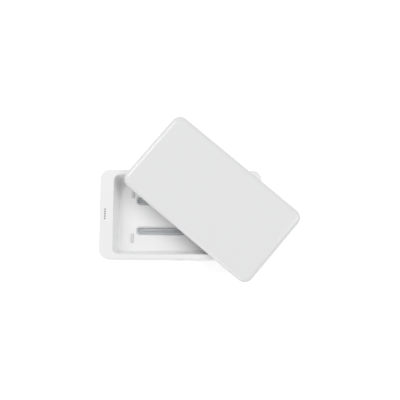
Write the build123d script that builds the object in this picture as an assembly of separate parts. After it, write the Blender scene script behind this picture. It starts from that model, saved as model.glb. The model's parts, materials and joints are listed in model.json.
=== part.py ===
"""UV-C sanitizer box for phones: a base with a leaning-walled chamber, and a loose flat lid.

Millimetres. The origin is the middle of the foot ring, on the table. +Z is up and +X runs along the
box, away from the electronics bay, so -Y is the front with the button. Lid pieces are modelled closed
and then turned about the sense magnet to where the lid lies, askew on the rim.
"""

import os
from math import atan2, degrees, hypot, pi, sin

from build123d import *

# ---- driving dimensions: the whole box ----
box_length = 210.0
box_width = 116.0
corner_radius = 12.0
base_height = 32.0  # table to rim, foot ring included
lid_height = 15.0
lid_turn = 39.8  # degrees that the lid lies askew of closed

# ---- base mouldings ----
foot_proud = 1.0
base_wall = 2.2
deck_thickness = 2.2
deck_edge_fillet = 1.5
mouth_edge_chamfer = 0.6
bottom_edge_chamfer = 1.2
rim_width = 6.4  # deck between the chamber's mouth and the outside
bay_width = 17.9  # the same over the electronics bay
mouth_radius = 8.0
wall_lean = 5.3  # how far each chamber wall leans in from mouth to floor
floor_fillet = 3.0
tub_wall = 1.8
tub_floor = 2.0
flange_thickness = 1.5
cover_thickness = 2.0
peg_sides = 8
slip_gap = 0.15  # round a piece that drops into another in plan
flange_gap = 0.5  # between the tub's flange and the shell
seat_gap = 0.1  # round a pad, a window or the foot ring in its pocket
root_overlap = 0.6  # how deep a rib or a boss sinks into the wall that carries it
pilot_floor = 1.0  # plastic left past the end of a screw's pilot hole

# ---- foot ring ----
ring_inset = 14.0  # outside of the box to the middle of the ring
ring_width = 4.0
ring_corner_radius = 10.0
ring_groove_depth = 0.6

# ---- screws ----
boss_overlap = 0.2  # how deep a corner boss sinks into the shell's wall
base_boss_height = 13.0
screw_radius = 1.0
screw_gap = 0.05
screw_length = 8.0
head_radius = 1.9
head_height = 1.0
head_gap = 0.2
head_edge = 0.5  # plate left between a head's sink and the plate's edge
head_sink = 0.2  # a screw's head below the face it is let into
small_screw_radius = 0.8
small_screw_length = 3.4
small_head_radius = 1.6
small_head_height = 0.9
small_boss_radius = 2.0

# ---- lamps ----
tube_radius = 1.75
cap_gap = 0.05
cap_radius = 2.05
cap_length = 6.0
holder_width = 8.0
holder_wall = 0.8  # least wall of a holder under and over the cap
sheet = 0.3  # reflector metal
reflector_gap = 0.3

# ---- chamber floor ----
window_length = 130.0
window_width = 12.0
window_thickness = 1.2
window_ledge = 1.5
window_clip = 2.5
window_spacing = 40.0
trough_floor_width = 6.0
rest_length = 12.0
rest_width = 4.0
rest_height = 1.6
rest_pocket = 0.6
rest_chamfer = 0.4
rest_margin = 3.0  # end of a window to the rest beyond it
rest_spacing_y = 60.0
post_size = 4.0
post_spacing_x = 110.0
post_spacing_y = 34.0

# ---- contacts between base and lid ----
pin_count = 5
pin_pitch = 3.0
contact_inset = 7.0  # end of the box to the row of pins
pin_tip_radius = 0.65
pin_body_radius = 0.95
pin_bevel = 0.25
pin_gap = 0.05
pin_sink = 0.1  # pin tips below the rim, clear of the lid as it turns
pin_travel = 0.6
pin_body_length = 3.0
deck_hole_radius = 0.9
barrel_wall = 0.25
spring_length = 3.6  # room left for the spring with the pin pressed in
block_width = 5.0
block_margin = 2.5
block_height = 8.0
contact_board_width = 8.4
contact_board_margin = 8.0
board_thickness = 1.2
land_size = (2.6, 2.0)
land_gap = 0.05

# ---- electronics bay ----
standoff_height = 2.0
main_board_width = 15.5
main_board_length = 84.0
board_edge_gap = 1.0
standoff_margin = 3.2
transformer_size = (9.0, 16.0, 9.0)
transformer_inset = 10.0  # end of the board to the transformer
chip_size = (7.0, 7.0, 1.2)
chip_inset = 18.5
usb_width = 8.94
usb_height = 3.26
usb_corner = 1.3
usb_length = 7.3
usb_wall = 0.3
usb_rear = 1.0
usb_set_back = 0.5  # socket's mouth behind the outside of the wall
usb_gap = 0.25
tongue_width = 6.7
tongue_thickness = 0.7
tongue_length = 5.2

# ---- front controls ----
button_radius = 4.5
button_gap = 0.2
button_proud = 0.5
button_bevel = 0.3
button_travel = 0.6
button_height = 13.5  # table to the button's middle
flange_margin = 1.1
flange_depth = 0.8
flange_rest_gap = 0.1
stem_radius = 1.5
press_gap = 0.1
front_board_left = -10.0
front_board_right = 60.0
front_board_low = 4.0
front_board_high = 17.0
front_board_inset = 4.2  # inside of the front wall to the board
switch_size = 4.5
switch_depth = 1.6
plunger_radius = 0.9
plunger_length = 0.4
light_x = 12.0
light_radius = 1.0
light_gap = 0.05
light_proud = 0.1
led_size = (1.6, 1.0, 1.0)
led_gap = 0.3
sensor_size = (3.0, 1.2, 3.0)
bracket_size = 4.0
bracket_gap = 0.1
bracket_height = 6.0

# ---- magnets ----
magnet_thickness = 2.0
magnet_length = 12.0
magnet_height = 3.5
magnet_gap = 0.1
rib_thickness = 1.0
sense_x = 47.7
sense_y = -45.6
sense_radius = 4.0
sense_height = 2.5
sense_gap = 0.08
sense_ring_wall = 1.2

# ---- lid ----
lid_wall = 2.2
lid_edge_fillet = 5.0
lid_rim_chamfer = 0.4
lid_inside_chamfer = 2.4
liner_thickness = 2.0
lid_window_length = 154.0
lid_window_width = 68.0
lid_window_radius = 6.0
lid_window_ledge = 3.0
lid_window_bevel = 1.2
lid_lamp_spacing = 30.0
lid_lamp_height = 4.6  # liner's upper face to the tubes' middles
lid_reflector_top = 40.0
lid_reflector_mouth = 64.0
lid_reflector_height = 6.8
lid_board_width = 12.0
lid_transformer_size = (8.0, 14.0, 6.0)
lid_transformer_inset = 5.8
stake_radius = 1.0
stake_gap = 0.1
stake_proud = 0.8
stake_inset = 3.0

# ---- heights and places that follow ----
shell_low = foot_proud
cover_top = shell_low + cover_thickness
deck_low = base_height - deck_thickness
floor_low = cover_top + holder_wall + 2 * cap_radius + seat_gap
floor_top = floor_low + tub_floor
chamber_x = (bay_width - rim_width) / 2
mouth_length = box_length - bay_width - rim_width
mouth_width = box_width - 2 * rim_width
front_wall_in = -box_width / 2 + base_wall
end_wall_in = -box_length / 2 + base_wall
lid_low = base_height
liner_top = lid_low + liner_thickness
lid_top = base_height + lid_height
lid_inside_top = lid_top - lid_wall
contact_x = -box_length / 2 + contact_inset
barrel_length = pin_gap + pin_body_length + pin_travel + spring_length + barrel_wall
pin_places = [(i - (pin_count - 1) / 2) * pin_pitch for i in range(pin_count)]
head_room = slip_gap + head_edge + head_gap + head_radius  # shell's wall to a screw's middle
boss_radius = head_room + boss_overlap
boss_reach = (corner_radius - base_wall - head_room) * sin(pi / 4)
boss_x = box_length / 2 - corner_radius + boss_reach
boss_y = box_width / 2 - corner_radius + boss_reach
magnet_reach = magnet_length / 2 + magnet_gap + rib_thickness  # its middle to the far side of a rib
magnet_y = box_width / 2 - corner_radius - magnet_reach
magnet_far_x = box_length / 2 - base_wall - magnet_gap - magnet_thickness / 2
front_board_y = front_wall_in + front_board_inset
transformer_y = main_board_length / 2 - transformer_inset - transformer_size[1] / 2
chip_y = chip_inset + chip_size[1] / 2 - main_board_length / 2
lid_board_length = 2 * (magnet_y - magnet_reach - board_edge_gap)
lid_transformer_y = lid_board_length / 2 - lid_transformer_inset - lid_transformer_size[1] / 2
lamp_length = window_length + 2 * cap_length
lid_lamp_length = lid_window_length + 2 * cap_length
lid_lamp_z = liner_top + lid_lamp_height
base_lamp_z = cover_top + holder_wall / 2 + cap_radius


# ---- shapes that several pieces share ----
def slab(length, width, radius, z_low, z_high, x=0.0):
    """A plate with round corners in plan."""
    return extrude(Pos(x, 0, z_low) * RectangleRounded(length, width, radius), z_high - z_low)


def leaning_slab(length, width, radius, z_low, z_high, lean, x=0.0):
    """A block with round corners that keeps its plan at the top and leans in to its foot."""
    plan = Pos(x, 0, z_high) * RectangleRounded(length, width, radius)
    return extrude(plan, z_low - z_high, taper=lean)


def block(low, high):
    """A rectangular block between its lowest and highest corners."""
    sizes = [b - a for a, b in zip(low, high)]
    middle = [(a + b) / 2 for a, b in zip(low, high)]
    return Pos(*middle) * Box(*sizes)


def rod_y(radius, y_low, y_high, x, z):
    return Pos(x, (y_low + y_high) / 2, z) * Rot(90, 0, 0) * Cylinder(radius, y_high - y_low)


def rod_z(radius, z_low, z_high, x, y):
    return Pos(x, y, (z_low + z_high) / 2) * Cylinder(radius, z_high - z_low)


def peg_z(radius, z_low, z_high, x, y):
    """An eight-sided rod, for what is hidden or tiny: a screw, a boss or the hole for one."""
    outline = Pos(x, y, z_low) * RegularPolygon(radius, peg_sides)
    return extrude(outline, z_high - z_low)


def peg_x(radius, x_low, x_high, y, z):
    outline = Plane.YZ * RegularPolygon(radius, peg_sides)
    return Pos(x_low, y, z) * extrude(outline, x_high - x_low)


def peg_y(radius, y_low, y_high, x, z):
    outline = Plane.XZ * RegularPolygon(radius, peg_sides)
    return Pos(x, y_high, z) * extrude(outline, y_high - y_low)


def joined(pieces):
    """Separate solids kept as one group."""
    return Compound([solid for piece in pieces for solid in piece.solids()])


def both_ways(*distances):
    """Every point of a grid that lies the given distances either side of the middle."""
    points = [()]
    for distance in distances:
        points = [point + (side * distance,) for point in points for side in (-1, 1)]
    return points


def screw(seat_z, x, y, radius, length, head_r, head_h, up=1):
    """A screw whose head bears at seat_z and whose shank runs up (1) or down (-1) from there."""
    shank_end = seat_z + up * length
    head_end = seat_z - up * head_h
    shank = peg_z(radius, min(seat_z, shank_end), max(seat_z, shank_end), x, y)
    return shank + peg_z(head_r, min(seat_z, head_end), max(seat_z, head_end), x, y)


def let_in_hole(face_z, x, y, thickness):
    """What a corner screw takes out of the plate that it holds: a hole and the sink for its head."""
    sink = peg_z(head_radius + head_gap, face_z, face_z + head_sink + head_height, x, y)
    return sink + peg_z(screw_radius + head_gap, face_z, face_z + thickness, x, y)


def corner_screws(face_z):
    seat = face_z + head_sink + head_height
    return joined(
        screw(seat, x, y, screw_radius, screw_length, head_radius, head_height)
        for x, y in both_ways(boss_x, boss_y)
    )


def lamp_places(spacing):
    return [-spacing / 2, spacing / 2]


def lamp_tubes(length, spacing, z):
    """Cold-cathode UV-C tubes, lying along the box between their caps."""
    reach = length / 2 - cap_length
    return joined(
        peg_x(tube_radius, chamber_x - reach, chamber_x + reach, y, z) for y in lamp_places(spacing)
    )


def lamp_caps(length, spacing, z):
    """A metal cap on each end of each tube."""
    caps = []
    for y in lamp_places(spacing):
        for side in (-1, 1):
            x = chamber_x + side * (length - cap_length) / 2
            caps.append(peg_x(cap_radius, x - cap_length / 2, x + cap_length / 2, y, z))
    return joined(caps)


def lamp_holders(length, spacing, z, z_low):
    """A silicone block under and round each cap, standing on z_low."""
    holders = []
    z_high = z + cap_radius + holder_wall / 2
    for y in lamp_places(spacing):
        for side in (-1, 1):
            x = chamber_x + side * (length - cap_length) / 2
            low = (x - cap_length / 2, y - holder_width / 2, z_low)
            high = (x + cap_length / 2, y + holder_width / 2, z_high)
            bore = peg_x(cap_radius + cap_gap, low[0], high[0], y, z)
            holders.append(block(low, high) - bore)
    return joined(holders)


def trough(length, floor_width, mouth_width_, depth):
    """A bent-metal trough along X, its floor on z = 0 and its mouth upwards."""
    run = (mouth_width_ - floor_width) / 2
    side = sheet * hypot(depth, run) / depth
    inner_run = run * (depth - sheet) / depth
    outside = Polygon(
        (-mouth_width_ / 2, depth),
        (-floor_width / 2, 0),
        (floor_width / 2, 0),
        (mouth_width_ / 2, depth),
        align=None,
    )
    inner_floor = mouth_width_ / 2 - side - inner_run
    inside = Polygon(
        (-mouth_width_ / 2 + side, depth),
        (-inner_floor, sheet),
        (inner_floor, sheet),
        (mouth_width_ / 2 - side, depth),
        align=None,
    )
    return Pos(-length / 2, 0, 0) * extrude(Plane.YZ * (outside - inside), length)


def magnet_places():
    """(x, y) of the holding magnets: a pair by the bay and a pair at the far end."""
    return [(x, side * magnet_y) for x in (contact_x, magnet_far_x) for side in (-1, 1)]


def magnet(x, y, z_low):
    low = (x - magnet_thickness / 2, y - magnet_length / 2, z_low)
    high = (x + magnet_thickness / 2, y + magnet_length / 2, z_low + magnet_height)
    return block(low, high)


def end_ribs(x_low, x_high, y, z_low, z_high):
    """The two ribs that hold a magnet by its ends."""
    near = magnet_length / 2 + magnet_gap
    far = near + rib_thickness
    return block((x_low, y - far, z_low), (x_high, y - near, z_high)) + block(
        (x_low, y + near, z_low), (x_high, y + far, z_high)
    )


# ---- base ----
def base_magnet_low(x):
    """The magnets by the bay hang from the deck, and the far ones sit under the tub's flange."""
    seat = deck_low if x < 0 else deck_low - flange_thickness
    return seat - magnet_height


def usb_z():
    return cover_top + standoff_height + board_thickness + usb_height / 2


def usb_section(grow):
    """The socket's outline on the end wall, grown all round."""
    outline = RectangleRounded(usb_width + 2 * grow, usb_height + 2 * grow, usb_corner + grow)
    return Pos(0, 0, usb_z()) * (Plane.YZ * outline)


def contact_board_span():
    """Half the length of the board under the contact block."""
    return (pin_count - 1) * pin_pitch / 2 + contact_board_margin


def contact_boss_y():
    return contact_board_span() - small_boss_radius


def base_shell():
    """The outer shell, with the rim deck in one with it."""
    shell = slab(box_length, box_width, corner_radius, shell_low, base_height)
    shell = chamfer(shell.faces().sort_by(Axis.Z)[0].edges(), bottom_edge_chamfer)
    shell -= slab(
        box_length - 2 * base_wall,
        box_width - 2 * base_wall,
        corner_radius - base_wall,
        shell_low,
        deck_low,
    )
    shell -= slab(mouth_length, mouth_width, mouth_radius, deck_low, base_height, chamber_x)
    mouth_edges = shell.faces().sort_by(Axis.Z)[-1].inner_wires()[0].edges()
    shell = chamfer(mouth_edges, mouth_edge_chamfer)
    pilot_top = cover_top + base_boss_height - pilot_floor
    for x, y in both_ways(boss_x, boss_y):
        shell += peg_z(boss_radius, cover_top, cover_top + base_boss_height, x, y)
        shell -= peg_z(screw_radius + screw_gap, cover_top, pilot_top, x, y)
    contact_board_top = deck_low - block_height
    for (side,) in both_ways(contact_boss_y()):
        shell += peg_z(small_boss_radius, contact_board_top, deck_low, contact_x, side)
        shell -= peg_z(
            small_screw_radius + screw_gap,
            contact_board_top,
            contact_board_top + small_screw_length,
            contact_x,
            side,
        )
    for x, y in magnet_places():
        x_low = x - magnet_thickness / 2
        if x < 0:
            top = deck_low + root_overlap
            shell += end_ribs(x_low, x_low + magnet_thickness, y, base_magnet_low(x), top)
        else:
            x_high = box_length / 2 - base_wall + root_overlap
            top = base_magnet_low(x) + magnet_height - magnet_gap
            shell += end_ribs(x_low, x_high, y, base_magnet_low(x), top)
    for y in pin_places:
        shell -= peg_z(deck_hole_radius, deck_low, base_height, contact_x, y)
    shell -= Pos(-box_length / 2, 0, 0) * extrude(usb_section(usb_gap), base_wall)
    wall = (-box_width / 2, front_wall_in)
    shell -= rod_y(button_radius + button_gap, *wall, 0, button_height)
    shell -= peg_y(light_radius + light_gap, *wall, light_x, button_height)
    rim_edges = shell.faces().sort_by(Axis.Z)[-1].outer_wire().edges()
    return fillet(rim_edges, deck_edge_fillet)


def tub_form(grow, z_low):
    """The space inside the tub, or that space grown by the tub's wall."""
    lean = degrees(atan2(wall_lean, deck_low - floor_top))
    return leaning_slab(
        mouth_length + 2 * grow,
        mouth_width + 2 * grow,
        mouth_radius + grow,
        z_low,
        deck_low,
        lean,
        chamber_x,
    )


def window_places():
    return [-window_spacing / 2, window_spacing / 2]


def floor_slot(shrink, z_low, z_high, y):
    """A slot with clipped corners over a lamp."""
    outline = Rectangle(window_length - 2 * shrink, window_width - 2 * shrink)
    outline = chamfer(outline.vertices(), window_clip)
    return extrude(Pos(chamber_x, y, z_low) * outline, z_high - z_low)


def rest_places():
    return [
        (chamber_x + x, y)
        for x, y in both_ways(window_length / 2 + rest_margin + rest_width / 2, rest_spacing_y / 2)
    ]


def rest_pad(grow, z_low, z_high, x, y):
    reach_x = rest_width / 2 + grow
    reach_y = rest_length / 2 + grow
    return block((x - reach_x, y - reach_y, z_low), (x + reach_x, y + reach_y, z_high))


def chamber_tub():
    """The chamber's leaning walls and floor, hung from the deck by its flange."""
    outside = tub_form(tub_wall, floor_low)
    reach = rim_width - base_wall - flange_gap
    flange = slab(
        mouth_length + 2 * reach,
        mouth_width + 2 * reach,
        mouth_radius + reach,
        deck_low - flange_thickness,
        deck_low,
        chamber_x,
    )
    inside = tub_form(0, floor_top)
    inside = fillet(inside.faces().sort_by(Axis.Z)[0].edges(), floor_fillet)
    tub = outside + flange - inside
    for y in window_places():
        tub -= floor_slot(window_ledge, floor_low, floor_top, y)
        tub -= floor_slot(0, floor_top - window_thickness, floor_top, y)
    for x, y in rest_places():
        tub -= rest_pad(seat_gap, floor_top - rest_pocket, floor_top, x, y)
    return tub


def floor_windows():
    return joined(
        floor_slot(seat_gap, floor_top - window_thickness, floor_top, y) for y in window_places()
    )


def phone_rests():
    """Silicone pads let into the floor, which hold a phone off the windows."""
    pads = []
    for x, y in rest_places():
        low = floor_top - rest_pocket
        pad = rest_pad(0, low, low + rest_height, x, y)
        pads.append(chamfer(pad.faces().sort_by(Axis.Z)[-1].edges(), rest_chamfer))
    return joined(pads)


def standoff_places():
    x = end_wall_in + board_edge_gap + main_board_width / 2
    reach_x = main_board_width / 2 - standoff_margin
    reach_y = main_board_length / 2 - standoff_margin
    return [(x + side_x, side_y) for side_x, side_y in both_ways(reach_x, reach_y)]


def bracket_places():
    return [front_board_left + bracket_size, front_board_right - bracket_size]


def foot_path(grow, z_low, z_high):
    """The foot ring's band, grown either side."""
    half = ring_width / 2 + grow
    outer = slab(
        box_length - 2 * ring_inset + 2 * half,
        box_width - 2 * ring_inset + 2 * half,
        ring_corner_radius + half,
        z_low,
        z_high,
    )
    inner = slab(
        box_length - 2 * ring_inset - 2 * half,
        box_width - 2 * ring_inset - 2 * half,
        ring_corner_radius - half,
        z_low,
        z_high,
    )
    return outer - inner


def bottom_cover():
    """The plate that closes the base from below, with the posts that carry what stands on it."""
    margin = base_wall + slip_gap
    cover = slab(
        box_length - 2 * margin, box_width - 2 * margin, corner_radius - margin, shell_low, cover_top
    )
    cover -= foot_path(seat_gap, shell_low, shell_low + ring_groove_depth)
    for x, y in both_ways(boss_x, boss_y):
        cover -= let_in_hole(shell_low, x, y, cover_thickness)
    for side in (-1, 1):
        for row in (-1, 0, 1):
            x = chamber_x + side * post_spacing_x / 2
            y = row * post_spacing_y
            low = (x - post_size / 2, y - post_size / 2, cover_top)
            cover += block(low, (x + post_size / 2, y + post_size / 2, floor_low))
    for x, y in standoff_places():
        top = cover_top + standoff_height
        cover += peg_z(small_boss_radius, cover_top, top, x, y)
        cover -= peg_z(small_screw_radius + screw_gap, shell_low + pilot_floor, top, x, y)
    for x in bracket_places():
        low_y = front_board_y - bracket_size / 2
        bracket = block(
            (x - bracket_size / 2, low_y, cover_top),
            (x + bracket_size / 2, low_y + bracket_size, cover_top + bracket_height),
        )
        bracket -= block(
            (x - bracket_size, front_board_y - bracket_gap, front_board_low),
            (x + bracket_size, front_board_y + board_thickness + bracket_gap, base_height),
        )
        cover += bracket
    return cover


def foot_ring():
    """One silicone ring under the base, let into the cover."""
    return foot_path(0, 0, shell_low + ring_groove_depth)


def base_reflectors():
    depth = floor_low - cover_top - reflector_gap
    length = window_length - 2 * reflector_gap
    return joined(
        Pos(chamber_x, y, cover_top) * trough(length, trough_floor_width, window_width, depth)
        for y in window_places()
    )


def main_board():
    x_low = end_wall_in + board_edge_gap
    low = (x_low, -main_board_length / 2, cover_top + standoff_height)
    high = (x_low + main_board_width, main_board_length / 2, low[2] + board_thickness)
    board = block(low, high)
    for x, y in standoff_places():
        board -= peg_z(small_screw_radius + screw_gap, low[2], high[2], x, y)
    return board


def standing_on(size, x, y, z_low):
    """A block of the given size, standing on a board."""
    return Pos(x, y, z_low + size[2] / 2) * Box(*size)


def main_board_top():
    return cover_top + standoff_height + board_thickness


def main_board_x():
    return end_wall_in + board_edge_gap + main_board_width / 2


def board_screws():
    return joined(
        screw(
            main_board_top(),
            x,
            y,
            small_screw_radius,
            small_screw_length,
            small_head_radius,
            small_head_height,
            up=-1,
        )
        for x, y in standoff_places()
    )


def usb_socket():
    """The folded metal shell of a USB-C socket, open at its mouth."""
    mouth_x = -box_length / 2 + usb_set_back
    shell = Pos(mouth_x, 0, 0) * extrude(usb_section(0), usb_length)
    return shell - Pos(mouth_x, 0, 0) * extrude(usb_section(-usb_wall), usb_length - usb_rear)


def usb_tongue():
    rear = -box_length / 2 + usb_set_back + usb_length - usb_rear
    low = (rear - tongue_length, -tongue_width / 2, usb_z() - tongue_thickness / 2)
    high = (rear, tongue_width / 2, usb_z() + tongue_thickness / 2)
    return block(low, high)


def contact_block():
    """The plastic block that the pins' barrels stand in."""
    half = (pin_count - 1) * pin_pitch / 2 + block_margin
    low = (contact_x - block_width / 2, -half, deck_low - block_height)
    high = (contact_x + block_width / 2, half, deck_low)
    body = block(low, high)
    for y in pin_places:
        bore = pin_body_radius + pin_gap + barrel_wall + screw_gap
        body -= peg_z(bore, deck_low - barrel_length, deck_low, contact_x, y)
    return body


def barrel(y):
    """A brass cup, open upwards. The deck over it keeps the pin's body in."""
    low = deck_low - barrel_length
    bore = pin_body_radius + pin_gap
    cup = peg_z(bore + barrel_wall, low, deck_low, contact_x, y)
    return cup - peg_z(bore, low + barrel_wall, deck_low, contact_x, y)


def contact_barrels():
    return joined(barrel(y) for y in pin_places)


def contact_pin(y):
    """A sprung pin: a bevelled tip over a fatter body that the deck holds in."""
    shoulder = deck_low - pin_gap
    tip_top = base_height - pin_sink
    tip = peg_z(pin_tip_radius, shoulder, tip_top, contact_x, y)
    tip = chamfer(tip.faces().sort_by(Axis.Z)[-1].edges(), pin_bevel)
    return tip + peg_z(pin_body_radius, shoulder - pin_body_length, shoulder, contact_x, y)


def contact_board():
    top = deck_low - block_height
    half_width = contact_board_width / 2
    low = (contact_x - half_width, -contact_board_span(), top - board_thickness)
    high = (contact_x + half_width, contact_board_span(), top)
    board = block(low, high)
    for (side,) in both_ways(contact_boss_y()):
        board -= peg_z(small_screw_radius + screw_gap, low[2], top, contact_x, side)
    return board


def contact_board_screws():
    seat = deck_low - block_height - board_thickness
    return joined(
        screw(
            seat,
            contact_x,
            side,
            small_screw_radius,
            small_screw_length,
            small_head_radius,
            small_head_height,
        )
        for (side,) in both_ways(contact_boss_y())
    )


def power_button():
    """A cap with a flange that stops it inside the wall and a stem that presses the switch."""
    outer_y = -box_width / 2 - button_proud
    flange_y = front_wall_in + flange_rest_gap
    flange_end = flange_y + flange_depth
    stem_end = front_board_y - switch_depth - plunger_length - press_gap - button_travel
    cap = rod_y(button_radius, outer_y, flange_y, 0, button_height)
    cap = chamfer(cap.faces().sort_by(Axis.Y)[0].edges(), button_bevel)
    flange = peg_y(button_radius + flange_margin, flange_y, flange_end, 0, button_height)
    return cap + flange + peg_y(stem_radius, flange_end, stem_end, 0, button_height)


def button_switch():
    low_y = front_board_y - switch_depth
    half = switch_size / 2
    body = block((-half, low_y, button_height - half), (half, front_board_y, button_height + half))
    return body + peg_y(plunger_radius, low_y - plunger_length, low_y, 0, button_height)


def front_board():
    low = (front_board_left, front_board_y, front_board_low)
    high = (front_board_right, front_board_y + board_thickness, front_board_high)
    return block(low, high)


def status_led():
    y = front_board_y - led_size[1] / 2
    return Pos(light_x, y, button_height) * Box(*led_size)


def status_light():
    """The clear rod that brings the lamp's light to the front wall."""
    outer_y = -box_width / 2 - light_proud
    inner_y = front_board_y - led_size[1] - led_gap
    return peg_y(light_radius, outer_y, inner_y, light_x, button_height)


def hall_sensor():
    """It feels the lid's sense magnet, so that the lamps only light under a closed lid."""
    z = front_board_high - sensor_size[2] / 2 - bracket_gap
    return Pos(sense_x, front_board_y - sensor_size[1] / 2, z) * Box(*sensor_size)


def base_magnets():
    return joined(magnet(x, y, base_magnet_low(x)) for x, y in magnet_places())


# ---- lid, as if closed ----
def lid_shell():
    """The outer shell of the lid, soft along its top edge."""
    shell = slab(box_length, box_width, corner_radius, lid_low, lid_top)
    shell = chamfer(shell.faces().sort_by(Axis.Z)[0].edges(), lid_rim_chamfer)
    hollow = slab(
        box_length - 2 * lid_wall,
        box_width - 2 * lid_wall,
        corner_radius - lid_wall,
        lid_low,
        lid_inside_top,
    )
    shell -= chamfer(hollow.faces().sort_by(Axis.Z)[-1].edges(), lid_inside_chamfer)
    for x, y in both_ways(boss_x, boss_y):
        shell += peg_z(boss_radius, liner_top, lid_inside_top + root_overlap, x, y)
        shell -= peg_z(screw_radius + screw_gap, liner_top, lid_inside_top, x, y)
    return fillet(shell.faces().sort_by(Axis.Z)[-1].edges(), lid_edge_fillet)


def lid_board_x():
    return contact_x + block_width / 4


def stake_places():
    return [(lid_board_x(), side) for (side,) in both_ways(lid_board_length / 2 - stake_inset)]


def contact_land(y, grow):
    reach_x = land_size[0] / 2 + grow
    reach_y = land_size[1] / 2 + grow
    low = (contact_x - reach_x, y - reach_y, lid_low)
    return block(low, (contact_x + reach_x, y + reach_y, liner_top))


def lid_liner():
    """The flat underside of the lid, round its window."""
    margin = lid_wall + slip_gap
    liner = slab(
        box_length - 2 * margin, box_width - 2 * margin, corner_radius - margin, lid_low, liner_top
    )
    opening = slab(
        lid_window_length - 2 * lid_window_ledge,
        lid_window_width - 2 * lid_window_ledge,
        lid_window_radius,
        lid_low,
        liner_top,
        chamber_x,
    )
    liner -= opening
    liner = chamfer(liner.faces().sort_by(Axis.Z)[0].inner_wires()[0].edges(), lid_window_bevel)
    for x, y in both_ways(boss_x, boss_y):
        liner -= let_in_hole(lid_low, x, y, liner_thickness)
    for y in pin_places:
        liner -= contact_land(y, land_gap)
    for x, y in stake_places():
        top = liner_top + board_thickness + stake_proud
        liner += peg_z(stake_radius, liner_top, top, x, y)
    for x, y in magnet_places():
        x_low = x - magnet_thickness / 2
        x_high = min(x_low + magnet_thickness, box_length / 2 - margin)
        liner += end_ribs(x_low, x_high, y, liner_top - root_overlap, liner_top + magnet_height)
    bore = sense_radius + sense_gap
    ring_top = liner_top + sense_height
    ring = peg_z(bore + sense_ring_wall, liner_top, ring_top, sense_x, sense_y)
    liner += ring - rod_z(bore, liner_top, ring_top, sense_x, sense_y)
    return liner


def lid_window():
    return slab(
        lid_window_length,
        lid_window_width,
        lid_window_radius + lid_window_ledge,
        liner_top,
        liner_top + window_thickness,
        chamber_x,
    )


def lid_reflector():
    """A trough turned over the lamps, its lips on the window."""
    length = lid_window_length - 2 * reflector_gap
    upturned = trough(length, lid_reflector_top, lid_reflector_mouth, lid_reflector_height)
    top = liner_top + window_thickness + lid_reflector_height
    return Pos(chamber_x, 0, top) * Rot(180, 0, 0) * upturned


def lid_board():
    low = (lid_board_x() - lid_board_width / 2, -lid_board_length / 2, liner_top)
    high = (lid_board_x() + lid_board_width / 2, lid_board_length / 2, liner_top + board_thickness)
    board = block(low, high)
    for x, y in stake_places():
        board -= peg_z(stake_radius + stake_gap, low[2], high[2], x, y)
    return board


def lid_contacts():
    """Gold lands that meet the base's pins under a closed lid."""
    return joined(contact_land(y, 0) for y in pin_places)


def lid_magnets():
    return joined(magnet(x, y, liner_top) for x, y in magnet_places())


def lid_sense_magnet():
    """The round magnet that the sensor feels. The lid turns about it."""
    return rod_z(sense_radius, liner_top, liner_top + sense_height, sense_x, sense_y)


def askew(piece):
    """A closed lid's piece, turned about the sense magnet to where the lid lies."""
    return Pos(sense_x, sense_y, 0) * Rot(0, 0, -lid_turn) * Pos(-sense_x, -sense_y, 0) * piece


def base_pieces():
    board_top = main_board_top()
    pieces = {
        "base_shell": base_shell(),
        "chamber_tub": chamber_tub(),
        "bottom_cover": bottom_cover(),
        "foot_ring": foot_ring(),
        "bottom_screws": corner_screws(shell_low),
        "floor_windows": floor_windows(),
        "phone_rests": phone_rests(),
        "base_lamps": lamp_tubes(lamp_length, window_spacing, base_lamp_z),
        "base_lamp_caps": lamp_caps(lamp_length, window_spacing, base_lamp_z),
        "base_lamp_holders": lamp_holders(lamp_length, window_spacing, base_lamp_z, cover_top),
        "base_reflectors": base_reflectors(),
        "main_board": main_board(),
        "board_screws": board_screws(),
        "lamp_transformer": standing_on(
            transformer_size, main_board_x(), transformer_y, board_top
        ),
        "control_chip": standing_on(chip_size, main_board_x(), chip_y, board_top),
        "usb_socket": usb_socket(),
        "usb_tongue": usb_tongue(),
        "contact_block": contact_block(),
        "contact_barrels": contact_barrels(),
        "contact_board": contact_board(),
        "contact_board_screws": contact_board_screws(),
        "front_board": front_board(),
        "button_switch": button_switch(),
        "power_button": power_button(),
        "status_led": status_led(),
        "status_light": status_light(),
        "hall_sensor": hall_sensor(),
        "base_magnets": base_magnets(),
    }
    for number, y in enumerate(pin_places, start=1):
        pieces[f"contact_pin_{number}"] = contact_pin(y)
    return pieces


def lid_pieces():
    board_top = liner_top + board_thickness
    return {
        "lid_shell": lid_shell(),
        "lid_liner": lid_liner(),
        "lid_window": lid_window(),
        "lid_screws": corner_screws(lid_low),
        "lid_lamps": lamp_tubes(lid_lamp_length, lid_lamp_spacing, lid_lamp_z),
        "lid_lamp_caps": lamp_caps(lid_lamp_length, lid_lamp_spacing, lid_lamp_z),
        "lid_lamp_holders": lamp_holders(
            lid_lamp_length, lid_lamp_spacing, lid_lamp_z, liner_top
        ),
        "lid_reflector": lid_reflector(),
        "lid_board": lid_board(),
        "lid_transformer": standing_on(
            lid_transformer_size, lid_board_x(), lid_transformer_y, board_top
        ),
        "lid_contacts": lid_contacts(),
        "lid_magnets": lid_magnets(),
        "lid_sense_magnet": lid_sense_magnet(),
    }


def write_parts():
    os.makedirs("parts", exist_ok=True)
    pieces = base_pieces()
    for name, piece in lid_pieces().items():
        pieces[name] = askew(piece)
    for name, piece in pieces.items():
        export_step(piece, f"parts/{name}.step")


write_parts()
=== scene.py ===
import json
from math import atan, cos, degrees, hypot, pi, radians, sin

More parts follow.
